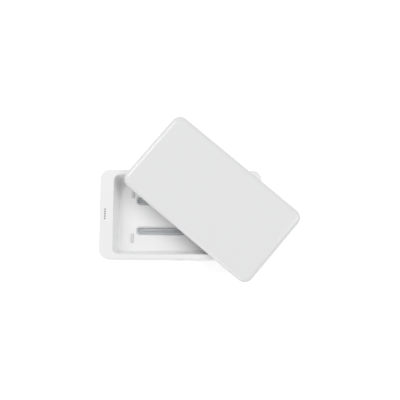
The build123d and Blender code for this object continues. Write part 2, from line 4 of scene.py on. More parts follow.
import bmesh
import bpy
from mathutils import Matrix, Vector


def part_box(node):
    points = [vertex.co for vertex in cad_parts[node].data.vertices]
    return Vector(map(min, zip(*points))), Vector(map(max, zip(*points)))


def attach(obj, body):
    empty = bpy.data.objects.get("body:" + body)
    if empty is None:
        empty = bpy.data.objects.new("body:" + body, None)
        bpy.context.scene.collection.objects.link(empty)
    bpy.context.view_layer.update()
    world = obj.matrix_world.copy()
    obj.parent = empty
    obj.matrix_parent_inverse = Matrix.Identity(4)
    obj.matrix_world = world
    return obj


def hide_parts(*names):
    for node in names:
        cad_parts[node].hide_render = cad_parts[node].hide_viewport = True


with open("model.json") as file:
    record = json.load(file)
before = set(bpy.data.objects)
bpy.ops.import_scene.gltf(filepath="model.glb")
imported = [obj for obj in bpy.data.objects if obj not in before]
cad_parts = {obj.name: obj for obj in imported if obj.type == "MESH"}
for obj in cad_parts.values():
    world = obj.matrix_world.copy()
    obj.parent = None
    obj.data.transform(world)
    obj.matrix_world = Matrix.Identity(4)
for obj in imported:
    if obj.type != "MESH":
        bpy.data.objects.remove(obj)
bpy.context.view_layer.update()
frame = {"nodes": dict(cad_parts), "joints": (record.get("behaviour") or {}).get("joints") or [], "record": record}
NODES = frame["nodes"]

# Lengths are in millimetres, and mm() turns them into metres. A plan is a rounded rectangle:
# (length, width, corner radius, x of its middle).

# The box
OUTLINE = (210.0, 116.0, 12.0, 0.0)
RIM_Z, LID_TOP_Z = 32.0, 47.0
RIM_SEAT = 0.02  # the rim lies this much under the lid, so that no two faces coincide
WALL = 2.2
SHELL_LOW = 1.0
DECK_LOW = 29.8  # underside of the rim's deck
SHELL_FOOT, SHELL_EDGE, MOUTH_EDGE = 1.2, 1.5, 0.7  # rounds of the shell, low, high and inside
LID_EDGE, LID_SHOULDER = 5.0, 7.0  # the round of the lid's top edge: its height and width
LID_FOOT = 0.4  # round of the lid's lower edge
CEILING_Z, CEILING_BEVEL = 44.8, 2.4  # inside the lid

# The chamber
MOUTH_X = 5.75
MOUTH = (185.7, 103.2, 8.0, MOUTH_X)
FLOOR_Z, FLOOR_LOW = 10.0, 8.0
WALL_LEAN = 5.3
FLOOR_FILLET = 3.0
TUB_FLANGE, FLANGE_LOW = 3.7, 28.3
TUB_WALL, TUB_WALL_LOW = 1.4, 1.8  # the walls' thickness, under the flange and at the floor
WALL_LEVELS = (16, 21, 26, DECK_LOW)
CUT_TOP = 11  # where the tools that cut the floor end, above it
WINDOW_Y, WINDOW_HALF = 20, (65, 6)  # the two windows' places and half sizes
WINDOW_SEAT, WINDOW_LEDGE, WINDOW_CORNER = 8.8, 1.5, 2.5
REST_X, REST_Y, REST_SIZE = 70, 30, (4, 12)  # from the chamber's middle to each rest's
REST_LOW, REST_TOP = 9.4, 11
REST_CORNER, REST_EDGE = 1.2, 0.5
POCKET_GAP = 0.1

# The button, the light, the pins and the USB-C inlet
FRONT_CUT = (-60, -54)  # the tools that cut the front wall run between these
BUTTON_Z, BUTTON_FRONT, BUTTON_HOLE = 13.5, -58.5, 4.7
LIGHT_X, LIGHT_FRONT, LIGHT_HOLE = 12, -58.1, 1.05
PIN_X, PIN_TOP, PIN_HOLE = -98, 31.9, 0.9
PIN_COUNT, PIN_PITCH = 5, 3.0
DECK_CUT = (29, 33)  # the tools that cut the rim's deck run between these
INLET_Z, INLET_OUTER = 7.83, -104.5
SLOT_INNER, SLOT_LENGTH = -101.5, 6
INLET_SLOT = (1.88, 4.72, 1.55)  # half height, half width and corner radius
INLET_PLAN = (3.26, 8.94, 1.3, 0.0)

# The foot ring, the screws and the lamps
FOOT_PATH = (182.0, 88.0, 10.0, 0.0)  # the middle line of the ring
FOOT_HALF, FOOT_TOP, FOOT_EDGE = 2, 1.6, 0.5
SCREW_HEAD, SCREW_SUNK = 1.9, 0.2
RECESS_HALF, RECESS_DEPTH, RECESS_TAPER = (1.05, 0.24), 0.75, 0.55
CAP_LENGTH = 6.0
BASE_LAMPS = (130.0, 40.0, 5.45)  # length, spacing and height of the two lamps
LID_LAMPS = (154.0, 30.0, 38.6)

# From the frame: the lid's turn, the point that it turns about and the screws' places
TURN = next(j for j in frame["joints"] if j["name"] == "lid_turn")["range_deg"][1]
SENSE_LOW, SENSE_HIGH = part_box("lid_sense_magnet")
SENSE = [(a + b) / 2 * 1000 for a, b in zip(SENSE_LOW, SENSE_HIGH)][:2]
SCREW_X, SCREW_Y = (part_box("bottom_screws")[1][i] * 1000 - SCREW_HEAD for i in (0, 1))

# Modelling, with the gaps in metres
CORNER_STEPS = 14
STACK_STEP = 50.0
MERGE_GAP, SAME_GAP, RING_GAP = 1e-7, 1e-6, 4e-6

# Light: what the floor, near and far, and the room give off
FLOOR_GLOW, FAR_GLOW = 0.42, 0.60
GLOW_FROM, GLOW_TO = 0.35, 1.0  # metres from the object's middle
SKY = 0.52
FLOOR_SIZE = 12  # metres
AIM = (0, 0, 0.03)
# name: place (m), size (m), power (W)
LAMPS = {
    "key": ((-0.58, 0.63, 1.16), (0.50, 0.22), 3.4),
    "wash": ((-0.85, 0.75, 0.8), (0.42, 0.42), 2.2),
    "side": ((-0.65, -1.0, 0.6), (0.6, 0.6), 3.4),
    "ceiling": ((0.8, 0.0, 1.0), (0.55, 0.55), 4.2),
}

# Camera: the lens and sensor in mm, what it looks at, its turn and height in degrees and
# its distance in metres
LENS, SENSOR = 62.8, 36
TARGET = (24.92, 18.76, RIM_Z)
CAMERA_TURN, CAMERA_HEIGHT, CAMERA_REACH = 0.37, 82.4, 0.905


def mm(*values):
    """Millimetres in metres: one value, or a tuple of them."""
    scaled = tuple(v * 0.001 for v in values)
    return scaled if len(scaled) > 1 else scaled[0]


# ---- modelling by hand ----
def alone(piece=None):
    """Only this piece is selected, in object mode."""
    if bpy.context.object and bpy.context.object.mode != "OBJECT":
        bpy.ops.object.mode_set(mode="OBJECT")
    bpy.ops.object.select_all(action="DESELECT")
    if piece:
        piece.select_set(True)
        bpy.context.view_layer.objects.active = piece


def named(piece, name):
    """The piece and its mesh take a name."""
    piece.name = name
    piece.data.name = name
    return piece


def block(name, low, high):
    """A block between two corners, with its place in its mesh."""
    alone()
    middle = [(a + b) / 2 for a, b in zip(low, high)]
    sizes = [b - a for a, b in zip(low, high)]
    bpy.ops.mesh.primitive_cube_add(size=1, location=mm(*middle), scale=mm(*sizes))
    settle(bpy.context.object)
    return named(bpy.context.object, name)


def rod(name, radius, low, high, axis, at, sides):
    """A round rod along Y or Z, from low to high, at two other coordinates."""
    alone()
    middle = (low + high) / 2
    place = {"Y": (at[0], middle, at[1]), "Z": (at[0], at[1], middle)}
    tilt = {"Y": (-pi / 2, 0, 0), "Z": (0, 0, 0)}
    bpy.ops.mesh.primitive_cylinder_add(
        vertices=sides,
        radius=mm(radius),
        depth=mm(high - low),
        location=mm(*place[axis]),
        rotation=tilt[axis],
    )
    settle(bpy.context.object)
    return named(bpy.context.object, name)


def settle(piece):
    """The piece's place, turn and size go into its mesh."""
    alone(piece)
    bpy.ops.object.transform_apply(location=True, rotation=True, scale=True)


def pick(piece, what, test):
    """In edit mode, selects the piece's vertices, edges or faces that pass a test."""
    if bpy.context.object is not piece or piece.mode != "EDIT":
        alone(piece)
        bpy.ops.object.mode_set(mode="EDIT")
    bpy.ops.mesh.select_mode(type={"verts": "VERT", "edges": "EDGE", "faces": "FACE"}[what])
    bpy.ops.mesh.select_all(action="DESELECT")
    bm = bmesh.from_edit_mesh(piece.data)
    for part in getattr(bm, what):
        if test(part):
            part.select_set(True)
    bmesh.update_edit_mesh(piece.data)


def near(a, b, gap=SAME_GAP):
    """Whether two values in metres are the same."""
    return abs(a - b) < gap


def outwards(piece):
    """Merges doubled points and turns every face outwards."""
    alone(piece)
    bpy.ops.object.mode_set(mode="EDIT")
    bpy.ops.mesh.select_all(action="SELECT")
    bpy.ops.mesh.remove_doubles(threshold=MERGE_GAP)
    bpy.ops.mesh.normals_make_consistent(inside=False)
    bpy.ops.object.mode_set(mode="OBJECT")


def bevel_upright(piece, width, segments):
    """Bevels the edges that run along Z."""
    pick(piece, "edges", lambda e: all(near(e.verts[0].co[i], e.verts[1].co[i]) for i in (0, 1)))
    bpy.ops.mesh.bevel(offset=mm(width), segments=segments, affect="EDGES")


def rounded_block(name, low, high, corner, edge=0.0):
    """A block with round corners in plan and, where edge isn't 0, a soft top edge."""
    piece = block(name, low, high)
    bevel_upright(piece, corner, 8)
    if edge:
        pick(piece, "edges", lambda e: all(near(v.co.z, mm(high[2])) for v in e.verts))
        bpy.ops.mesh.bevel(offset=mm(edge), segments=4, affect="EDGES")
    alone(piece)
    return piece


def grown(plan, by, z):
    """A ring (length, width, corner, z, x) that lies outside a plan by some width."""
    length, width, corner, x = plan
    return (length + 2 * by, width + 2 * by, corner + by, z, x)


def on_ring(point, ring):
    """Whether a point lies on a ring."""
    length, width, corner, z, x = ring
    if not near(point.z, mm(z)):
        return False
    a = abs(point.x - mm(x)) - mm(length / 2 - corner)
    b = abs(point.y) - mm(width / 2 - corner)
    outside = hypot(max(a, 0.0), max(b, 0.0)) + min(max(a, b), 0.0)
    return near(outside, mm(corner), RING_GAP)


def pick_rings(piece, *rings):
    """Selects the open edges that lie on any of the rings."""
    pick(
        piece,
        "edges",
        lambda e: len(e.link_faces) < 2
        and any(all(on_ring(v.co, r) for v in e.verts) for r in rings),
    )


def skin(name, rings, closed, steps=CORNER_STEPS):
    """Bridges rings one to the next: a closed section, or one capped at both ends.

    They are bridged as a tall stack, so that none twists, and then each goes to its own height.
    """
    stack = [(*here[:3], STACK_STEP * i, here[4]) for i, here in enumerate(rings, 2)]
    alone()
    bpy.ops.mesh.primitive_plane_add(size=1, location=(0, 0, 0))
    piece = named(bpy.context.object, name)
    bpy.ops.object.mode_set(mode="EDIT")
    bpy.ops.mesh.select_mode(type="VERT")
    bpy.ops.mesh.select_all(action="SELECT")
    bpy.ops.mesh.delete(type="VERT")
    for length, width, corner, z, x in stack:
        bpy.ops.mesh.primitive_plane_add(size=1, location=mm(x, 0, z))
        bpy.ops.transform.resize(value=(mm(length), mm(width), 1), center_override=mm(x, 0, z))
        bpy.ops.mesh.bevel(offset=mm(corner), segments=steps, affect="VERTICES")
        bpy.ops.mesh.delete(type="ONLY_FACE")
    for here, following in zip(stack, stack[1:] + stack[:1] if closed else stack[1:]):
        pick_rings(piece, here, following)
        bpy.ops.mesh.bridge_edge_loops()
    for end in () if closed else (stack[0], stack[-1]):
        pick_rings(piece, end)
        bpy.ops.mesh.edge_face_add()
    for here, there in zip(stack, rings):
        pick(piece, "verts", lambda v: near(v.co.z, mm(here[3])))
        bpy.ops.transform.translate(value=mm(0, 0, there[3] - here[3]))
    outwards(piece)
    return piece


def arc(radius, start, end, steps):
    """Points of an arc about (0, 0), by its angles in degrees."""
    turns = [radians(start + (end - start) * i / steps) for i in range(steps + 1)]
    return [(radius * cos(t), radius * sin(t)) for t in turns]


def cut(piece, *tools):
    """Takes the tools out of the piece and deletes them."""
    for tool in tools:
        outwards(tool)
        alone(piece)
        modifier = piece.modifiers.new("cut", "BOOLEAN")
        modifier.operation = "DIFFERENCE"
        modifier.solver = "EXACT"
        modifier.object = tool
        bpy.ops.object.modifier_apply(modifier=modifier.name)
        bpy.data.objects.remove(tool)


def smooth(piece, angle=32):
    """Round faces shade smoothly and flat ones stay flat."""
    alone(piece)
    bpy.ops.object.shade_smooth_by_angle(angle=radians(angle))
    modifier = piece.modifiers.new("flat faces", "WEIGHTED_NORMAL")
    modifier.keep_sharp = True
    modifier.weight = 100
    bpy.ops.object.modifier_apply(modifier=modifier.name)
    return piece


def edit_all(piece):
    """The piece is in edit mode, with all of its mesh selected."""
    alone(piece)
    bpy.ops.object.mode_set(mode="EDIT")
    bpy.ops.mesh.select_all(action="SELECT")


def moved(piece, x, y, z):
    """Moves the mesh, in millimetres."""
    edit_all(piece)
    bpy.ops.transform.translate(value=mm(x, y, z))
    bpy.ops.object.mode_set(mode="OBJECT")
    return piece


def turned(piece, angle, axis, centre=(0, 0, 0)):
    """Turns the mesh by an angle in degrees about an axis through a point in millimetres."""
    edit_all(piece)
    bpy.ops.transform.rotate(
        value=radians(-angle), orient_axis=axis, orient_type="GLOBAL", center_override=mm(*centre)
    )
    bpy.ops.object.mode_set(mode="OBJECT")
    return piece


def askew(piece):
    """Turns a piece of the lid from closed to where the lid lies, about its sense magnet."""
    return turned(piece, -TURN, "Z", (*SENSE, 0))


def still(piece):
    """Leaves a piece of the base as it is, where askew turns one of the lid."""
    return piece


def copied(piece, name, shift):
    """A copy with its own mesh, moved in millimetres."""
    alone(piece)
    bpy.ops.object.duplicate(linked=False)
    return moved(named(bpy.context.object, name), *shift)


def four_of(first, stem, across, along):
    """A piece and three copies at the other corners of a rectangle, with numbered names."""
    shifts = ((across, 0, 0), (0, along, 0), (across, along, 0))
    return [first] + [copied(first, f"{stem}_{i}", shift) for i, shift in enumerate(shifts, 2)]


def dress(piece, slot):
    """The piece takes the finish of a material slot."""
    piece.data.materials.clear()
    piece.data.materials.append(FINISHES[slot])


def seat(piece, body, slot, *replaced):
    """The piece rides on a body, takes a slot's finish and stands for CAD nodes, if any."""
    if replaced:
        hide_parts(*replaced)
    dress(piece, slot)
    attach(piece, body)


def lathe(name, profile, axis, at, steps):
    """Spins a profile of (radius, along) points in millimetres about an axis through a point."""
    alone()
    bpy.ops.mesh.primitive_plane_add(size=1, location=(0, 0, 0))
    piece = named(bpy.context.object, name)
    bpy.ops.object.mode_set(mode="EDIT")
    bpy.ops.mesh.select_mode(type="VERT")
    bpy.ops.mesh.select_all(action="SELECT")
    bpy.ops.mesh.merge(type="CENTER")
    bpy.ops.transform.translate(value=mm(profile[0][0], 0, profile[0][1]))
    for here, following in zip(profile, profile[1:]):
        step = mm(following[0] - here[0], 0, following[1] - here[1])
        bpy.ops.mesh.extrude_region_move(TRANSFORM_OT_translate={"value": step})
    bpy.ops.mesh.select_all(action="SELECT")
    bpy.ops.mesh.spin(steps=steps, angle=2 * pi, center=(0, 0, 0), axis=(0, 0, 1))
    outwards(piece)
    if axis == "X":
        turned(piece, 90, "Y")
    if axis == "Y":
        turned(piece, -90, "X")
    return moved(piece, *at)


# ---- finishes ----
def blank(name):
    """A new material with its tree, its Principled shader and Object coordinates."""
    material = bpy.data.materials.new(name)
    material.use_nodes = True
    tree = material.node_tree
    shader = tree.nodes["Principled BSDF"]
    place = tree.nodes.new("ShaderNodeTexCoord").outputs["Object"]
    return material, tree, shader, place


def noise(tree, place, scale, detail=4.0):
    """A noise pattern, by its scale per metre."""
    node = tree.nodes.new("ShaderNodeTexNoise")
    tree.links.new(place, node.inputs["Vector"])
    node.inputs["Scale"].default_value = scale
    node.inputs["Detail"].default_value = detail
    node.inputs["Roughness"].default_value = 0.55
    return node.outputs["Fac"]


def between(tree, factor, low, high):
    """A value or a colour that runs from low to high with a pattern."""
    if isinstance(low, tuple):
        node = tree.nodes.new("ShaderNodeMix")
        node.data_type = "RGBA"
        tree.links.new(factor, node.inputs[0])
        node.inputs[6].default_value = (*low, 1)
        node.inputs[7].default_value = (*high, 1)
        return node.outputs[2]
    node = tree.nodes.new("ShaderNodeMapRange")
    tree.links.new(factor, node.inputs["Value"])
    node.inputs["To Min"].default_value = low
    node.inputs["To Max"].default_value = high
    return node.outputs["Result"]


def bump(tree, shader, height, depth):
    """Relief of a depth in millimetres."""
    node = tree.nodes.new("ShaderNodeBump")
    node.inputs["Distance"].default_value = mm(depth)
    node.inputs["Strength"].default_value = 1.0
    tree.links.new(height, node.inputs["Height"])
    tree.links.new(node.outputs["Normal"], shader.inputs["Normal"])


def mottled(tree, shader, pattern, colour, shade, smoother, rougher):
    """A colour that darkens with a pattern, which also spreads the roughness."""
    darker = tuple(c * shade for c in colour)
    tree.links.new(between(tree, pattern, darker, colour), shader.inputs["Base Color"])
    tree.links.new(between(tree, pattern, smoother, rougher), shader.inputs["Roughness"])


def plastic(name, colour, rough, grain=0.010, scale=2200.0):
    """Moulded plastic: a faint cloud in its colour and a fine spark-eroded grain."""
    material, tree, shader, place = blank(name)
    cloud = noise(tree, place, scale=14.0, detail=3.0)
    darker = tuple(c * 0.988 for c in colour)
    tree.links.new(between(tree, cloud, darker, colour), shader.inputs["Base Color"])
    fine = noise(tree, place, scale=scale, detail=2.0)
    patch = noise(tree, place, scale=60.0, detail=4.0)
    tree.links.new(between(tree, patch, rough - 0.04, rough + 0.05), shader.inputs["Roughness"])
    bump(tree, shader, fine, grain)
    return material


def soft(name, colour, rough=0.6, through=0.0):
    """Silicone: a dull skin with a faint bloom. through is how much light passes under it."""
    material, tree, shader, place = blank(name)
    bloom = noise(tree, place, scale=220.0, detail=5.0)
    mottled(tree, shader, bloom, colour, 0.96, rough - 0.05, rough + 0.1)
    shader.inputs["Subsurface Weight"].default_value = through
    shader.inputs["Subsurface Radius"].default_value = (0.002, 0.002, 0.002)
    bump(tree, shader, noise(tree, place, scale=1500.0, detail=3.0), 0.01)
    return material


def metal(name, colour, rough, grain=(1.0, 1.0, 1.0)):
    """Metal with a grain, which runs along an axis where its scale is lower."""
    material, tree, shader, place = blank(name)
    shader.inputs["Metallic"].default_value = 1.0
    mapping = tree.nodes.new("ShaderNodeMapping")
    mapping.inputs["Scale"].default_value = grain
    tree.links.new(place, mapping.inputs["Vector"])
    streak = noise(tree, mapping.outputs["Vector"], scale=900.0, detail=3.0)
    mottled(tree, shader, streak, colour, 0.9, rough - 0.06, rough + 0.1)
    bump(tree, shader, streak, 0.004)
    return material


def clear(name, colour, alpha, rough=0.03, ior=1.46):
    """Quartz or acrylic that lets light through by its alpha, with a faint film on it."""
    material, tree, shader, place = blank(name)
    film = noise(tree, place, scale=45.0, detail=4.0)
    mottled(tree, shader, film, colour, 0.97, rough, rough + 0.05)
    tree.links.new(between(tree, film, alpha - 0.03, alpha + 0.03), shader.inputs["Alpha"])
    shader.inputs["IOR"].default_value = ior
    shader.inputs["Coat Weight"].default_value = 1.0
    shader.inputs["Coat Roughness"].default_value = rough
    bump(tree, shader, noise(tree, place, scale=140.0, detail=2.0), 0.004)
    return material


def board(name):
    """Green solder mask over copper tracks."""
    material, tree, shader, place = blank(name)
    tracks = tree.nodes.new("ShaderNodeTexBrick")
    tree.links.new(place, tracks.inputs["Vector"])
    tracks.inputs["Scale"].default_value = 260.0
    tracks.inputs["Color1"].default_value = (0.012, 0.105, 0.04, 1)
    tracks.inputs["Color2"].default_value = (0.016, 0.13, 0.05, 1)
    tracks.inputs["Mortar"].default_value = (0.03, 0.2, 0.08, 1)
    tracks.inputs["Mortar Size"].default_value = 0.03
    tree.links.new(tracks.outputs["Color"], shader.inputs["Base Color"])
    sheen = between(tree, noise(tree, place, scale=400.0), 0.28, 0.4)
    tree.links.new(sheen, shader.inputs["Roughness"])
    bump(tree, shader, tracks.outputs["Fac"], 0.03)
    return material


def winding(name):
    """Yellow tape wound round a transformer."""
    material, tree, shader, place = blank(name)
    bands = tree.nodes.new("ShaderNodeTexWave")
    tree.links.new(place, bands.inputs["Vector"])
    bands.bands_direction = "Y"
    bands.inputs["Scale"].default_value = 90.0
    bands.inputs["Distortion"].default_value = 0.4
    colours = between(tree, bands.outputs["Fac"], (0.45, 0.3, 0.03), (0.62, 0.44, 0.06))
    tree.links.new(colours, shader.inputs["Base Color"])
    tree.links.new(between(tree, bands.outputs["Fac"], 0.3, 0.42), shader.inputs["Roughness"])
    bump(tree, shader, bands.outputs["Fac"], 0.05)
    return material


def seen(tree):
    """1 for what the camera sees, also in metal and glass, and 0 for what lights the object."""
    path = tree.nodes.new("ShaderNodeLightPath")
    total = path.outputs["Is Camera Ray"]
    for kind in ("Is Glossy Ray", "Is Transmission Ray"):
        node = tree.nodes.new("ShaderNodeMath")
        node.operation = "ADD"
        node.use_clamp = True
        tree.links.new(total, node.inputs[0])
        tree.links.new(path.outputs[kind], node.inputs[1])
        total = node.outputs["Value"]
    return total


def floor_finish():
    """A plain white floor with the object's shadow on it, which glows more away from the lamps."""
    material, tree, shader, place = blank("floor white")
    shader.inputs["Base Color"].default_value = (0.86, 0.86, 0.86, 1)
    shader.inputs["Roughness"].default_value = 0.9
    shader.inputs["Specular IOR Level"].default_value = 0.0
    glow = tree.nodes.new("ShaderNodeEmission")
    glow.inputs["Color"].default_value = (1, 1, 1, 1)
    away = tree.nodes.new("ShaderNodeVectorMath")
    away.operation = "LENGTH"
    tree.links.new(place, away.inputs[0])
    spread = tree.nodes.new("ShaderNodeMapRange")
    tree.links.new(away.outputs["Value"], spread.inputs["Value"])
    for name, value in zip(("From Min", "From Max"), (GLOW_FROM, GLOW_TO)):
        spread.inputs[name].default_value = value
    for name, value in zip(("To Min", "To Max"), (FLOOR_GLOW, FAR_GLOW)):
        spread.inputs[name].default_value = value
    strength = tree.nodes.new("ShaderNodeMath")
    strength.operation = "MULTIPLY"
    tree.links.new(seen(tree), strength.inputs[0])
    tree.links.new(spread.outputs["Result"], strength.inputs[1])
    tree.links.new(strength.outputs["Value"], glow.inputs["Strength"])
    both = tree.nodes.new("ShaderNodeAddShader")
    tree.links.new(shader.outputs["BSDF"], both.inputs[0])
    tree.links.new(glow.outputs["Emission"], both.inputs[1])
    tree.links.new(both.outputs["Shader"], tree.nodes["Material Output"].inputs["Surface"])
    return material


FINISHES = {
    "shell_white": plastic("satin white shell", (0.855, 0.855, 0.857), 0.36),
    # The lid's white is darker and a little cooler than the shell's, so the lid's top renders darker than the rim.
    "lid_white": plastic("satin white lid", (0.774, 0.775, 0.781), 0.20),
    "tub_white": plastic("satin white chamber", (0.920, 0.920, 0.921), 0.30),
    "cover_white": plastic("textured white cover", (0.76, 0.76, 0.765), 0.55, 0.03, 1400.0),
    "foot_silicone": soft("pale grey silicone", (0.36, 0.37, 0.38)),
    "rest_silicone": soft("white silicone rests", (0.74, 0.74, 0.74), 0.5, 0.1),
    "screw_steel": metal("zinc plated screws", (0.55, 0.55, 0.57), 0.32),
    "window_clear": clear("clear quartz plate", (0.80, 0.84, 0.86), 0.16),
    "lamp_glass": clear("quartz lamp tube", (0.80, 0.83, 0.87), 0.3),
    "lamp_cap": metal("pressed lamp caps", (0.7, 0.7, 0.71), 0.3, (1, 8, 8)),
    "holder_silicone": soft("white silicone holders", (0.66, 0.66, 0.63)),
    "reflector_metal": metal("rolled aluminium", (0.78, 0.79, 0.80), 0.36, (0.15, 6, 6)),
    "circuit_board": board("circuit board"),
    "transformer": winding("taped winding"),
    "chip_black": plastic("black epoxy", (0.02, 0.02, 0.022), 0.5, 0.01, 1800.0),
    "socket_steel": metal("nickel plated shell", (0.6, 0.6, 0.61), 0.25),
    "contact_black": plastic("black nylon", (0.015, 0.015, 0.016), 0.45),
    "contact_gold": metal("gold plated brass", (0.85, 0.6, 0.2), 0.22),
    "pin_dark": metal("dark plated pins", (0.03, 0.027, 0.024), 0.42),
    "button_white": plastic("smooth white cap", (0.8, 0.8, 0.805), 0.26, 0.002),
    "led": soft("white emitter", (0.8, 0.82, 0.7)),
    "light_clear": clear("clear acrylic rod", (0.82, 0.84, 0.85), 0.4, 0.08, 1.49),
    "magnet_nickel": metal("nickel plated magnets", (0.66, 0.65, 0.63), 0.14),
}


# ---- the base and the lid ----
def lean_at(z):
    """How far a chamber wall has leant in from the mouth, at a height."""
    return WALL_LEAN * (DECK_LOW - z) / (DECK_LOW - FLOOR_Z)


def pin_y(i):
    """The place of a pin in its row, from 0."""
    return (i - (PIN_COUNT - 1) / 2) * PIN_PITCH


def build_case():
    """The outer shell with its rim, its soft edges and the holes in its walls."""
    low = SHELL_LOW + SHELL_FOOT
    rim = RIM_Z - RIM_SEAT
    rings = [grown(OUTLINE, -WALL, SHELL_LOW)]
    rings += [grown(OUTLINE, x - SHELL_FOOT, low + y) for x, y in arc(SHELL_FOOT, -90, 0, 4)]
    rings += [
        grown(OUTLINE, x - SHELL_EDGE, rim - SHELL_EDGE + y) for x, y in arc(SHELL_EDGE, 0, 90, 7)
    ]
    rings += [
        grown(MOUTH, MOUTH_EDGE - x, rim - MOUTH_EDGE + y) for x, y in arc(MOUTH_EDGE, 90, 0, 4)
    ]
    rings += [grown(MOUTH, 0, DECK_LOW), grown(OUTLINE, -WALL, DECK_LOW)]
    shell = skin("case_shell", rings, closed=True)
    tools = [
        rod(f"pin hole {i}", PIN_HOLE, *DECK_CUT, "Z", (PIN_X, pin_y(i)), 24)
        for i in range(PIN_COUNT)
    ]
    button_hole = rod("button hole", BUTTON_HOLE, *FRONT_CUT, "Y", (0, BUTTON_Z), 64)
    light_hole = rod("light hole", LIGHT_HOLE, *FRONT_CUT, "Y", (LIGHT_X, BUTTON_Z), 24)
    half_height, half_width, corner = INLET_SLOT
    slot = rounded_block(
        "inlet", (-half_height, -half_width, 0), (half_height, half_width, SLOT_LENGTH), corner
    )
    turned(slot, -90, "Y")
    moved(slot, SLOT_INNER, 0, INLET_Z)
    cut(shell, *tools, button_hole, light_hole, slot)
    smooth(shell)
    seat(shell, "base", "shell_white", "base_shell")


def floor_tool(name, x, y, half, low):
    """A block that cuts the chamber's floor from a height up, about a place, by its half sizes."""
    return block(name, (x - half[0], y - half[1], low), (x + half[0], y + half[1], CUT_TOP))


def build_tub():
    """The chamber: leaning walls, a soft foot, a floor with window slots and rest pockets."""
    slope = atan(WALL_LEAN / (DECK_LOW - FLOOR_Z))
    foot = WALL_LEAN + FLOOR_FILLET * (1 - sin(slope)) / cos(slope)
    floor_arc = arc(FLOOR_FILLET, -90, -degrees(slope), 6)
    rings = [grown(MOUTH, -foot + x, FLOOR_Z + FLOOR_FILLET + z) for x, z in floor_arc]
    rings += [grown(MOUTH, -lean_at(z), z) for z in WALL_LEVELS]
    rings += [grown(MOUTH, TUB_FLANGE, DECK_LOW), grown(MOUTH, TUB_FLANGE, FLANGE_LOW)]
    rings += [grown(MOUTH, TUB_WALL, FLANGE_LOW)]
    rings += [grown(MOUTH, TUB_WALL_LOW - lean_at(FLOOR_LOW), FLOOR_LOW)]
    tub = skin("chamber_liner", rings, closed=False)
    tools = []
    for y in (-WINDOW_Y, WINDOW_Y):
        for shrink, low in ((0, WINDOW_SEAT), (WINDOW_LEDGE, FLOOR_LOW - 1)):
            half = [size - shrink for size in WINDOW_HALF]
            tool = floor_tool(f"slot {y} {low}", MOUTH_X, y, half, low)
            bevel_upright(tool, WINDOW_CORNER, 1)
            tools.append(tool)
    pocket = [size / 2 + POCKET_GAP for size in REST_SIZE]
    for x in (-REST_X, REST_X):
        for y in (-REST_Y, REST_Y):
            tools.append(floor_tool(f"pocket {x} {y}", MOUTH_X + x, y, pocket, REST_LOW))
    cut(tub, *tools)
    smooth(tub)
    seat(tub, "base", "tub_white", "chamber_tub")


def build_rests():
    """Four silicone pads with soft tops."""
    length, width = REST_SIZE
    low = (MOUTH_X - REST_X - length / 2, -REST_Y - width / 2, REST_LOW)
    high = (low[0] + length, low[1] + width, REST_TOP)
    first = rounded_block("rest_1", low, high, REST_CORNER, REST_EDGE)
    smooth(first)
    for pad in four_of(first, "rest", 2 * REST_X, 2 * REST_Y):
        seat(pad, "base", "rest_silicone", "phone_rests")


def build_foot():
    """The silicone ring under the base, with soft lower edges."""
    flat = FOOT_HALF - FOOT_EDGE
    rings = [
        grown(FOOT_PATH, -flat - x, FOOT_EDGE + z) for x, z in arc(FOOT_EDGE, 0, -90, 3)
    ]
    rings += [grown(FOOT_PATH, flat + x, FOOT_EDGE + z) for x, z in arc(FOOT_EDGE, -90, 0, 3)]
    rings += [grown(FOOT_PATH, FOOT_HALF, FOOT_TOP), grown(FOOT_PATH, -FOOT_HALF, FOOT_TOP)]
    foot = skin("foot", rings, closed=True)
    smooth(foot)
    seat(foot, "base", "foot_silicone", "foot_ring")


def build_button():
    """A cap with a soft shoulder and a shallow dish, its flange and its stem."""
    dish = [(0.0, 0.22), (1.2, 0.19), (2.3, 0.1), (3.2, 0.02), (3.55, 0.0)]
    shoulder = [(3.95, 0.0), (4.16, 0.04), (4.34, 0.16), (4.46, 0.34), (4.5, 0.55)]
    flange = [(4.5, 2.8), (5.6, 2.8), (5.6, 3.6), (1.5, 3.6), (1.5, 4.2), (0.0, 4.2)]
    place = (0, BUTTON_FRONT, BUTTON_Z)
    button = lathe("button_cap", dish + shoulder + flange, "Y", place, steps=72)
    smooth(button, angle=40)
    seat(button, "button", "button_white", "power_button")


def build_light():
    """A clear rod with a domed end in the front wall."""
    dome = [(0.0, 0.0), (0.45, 0.02), (0.8, 0.1), (0.95, 0.2), (1.0, 0.35)]
    shaft = [(1.0, 5.1), (0.0, 5.1)]
    light = lathe("front_light", dome + shaft, "Y", (LIGHT_X, LIGHT_FRONT, BUTTON_Z), steps=32)
    smooth(light, angle=40)
    seat(light, "base", "light_clear", "status_light")


def build_pins():
    """The sprung pins: each a domed tip on a fatter body."""
    tip = [(0.0, 0.0), (0.3, -0.04), (0.5, -0.15), (0.62, -0.32), (0.65, -0.5)]
    body = [(0.65, -2.15), (0.88, -2.15), (0.95, -2.22), (0.95, -5.15), (0.0, -5.15)]
    for i in range(PIN_COUNT):
        place = (PIN_X, pin_y(i), PIN_TOP)
        pin = lathe(f"sprung_pin_{i + 1}", tip + body, "Z", place, steps=24)
        smooth(pin, angle=40)
        seat(pin, f"pin_{i + 1}", "pin_dark", f"contact_pin_{i + 1}")


def build_inlet():
    """The folded metal shell of the USB-C socket, round its tongue."""
    inside = [(-0.3, 6.3), (-0.3, 0.12), (-0.18, 0.0)]
    outside = [(-0.1, 0.0), (0.0, 0.12), (0.0, 7.3)]
    rings = [grown(INLET_PLAN, by, depth) for by, depth in inside + outside]
    socket = skin("inlet_shell", rings, closed=False, steps=8)
    smooth(socket)
    turned(socket, 90, "Y")
    moved(socket, INLET_OUTER, 0, INLET_Z)
    seat(socket, "base", "socket_steel", "usb_socket")


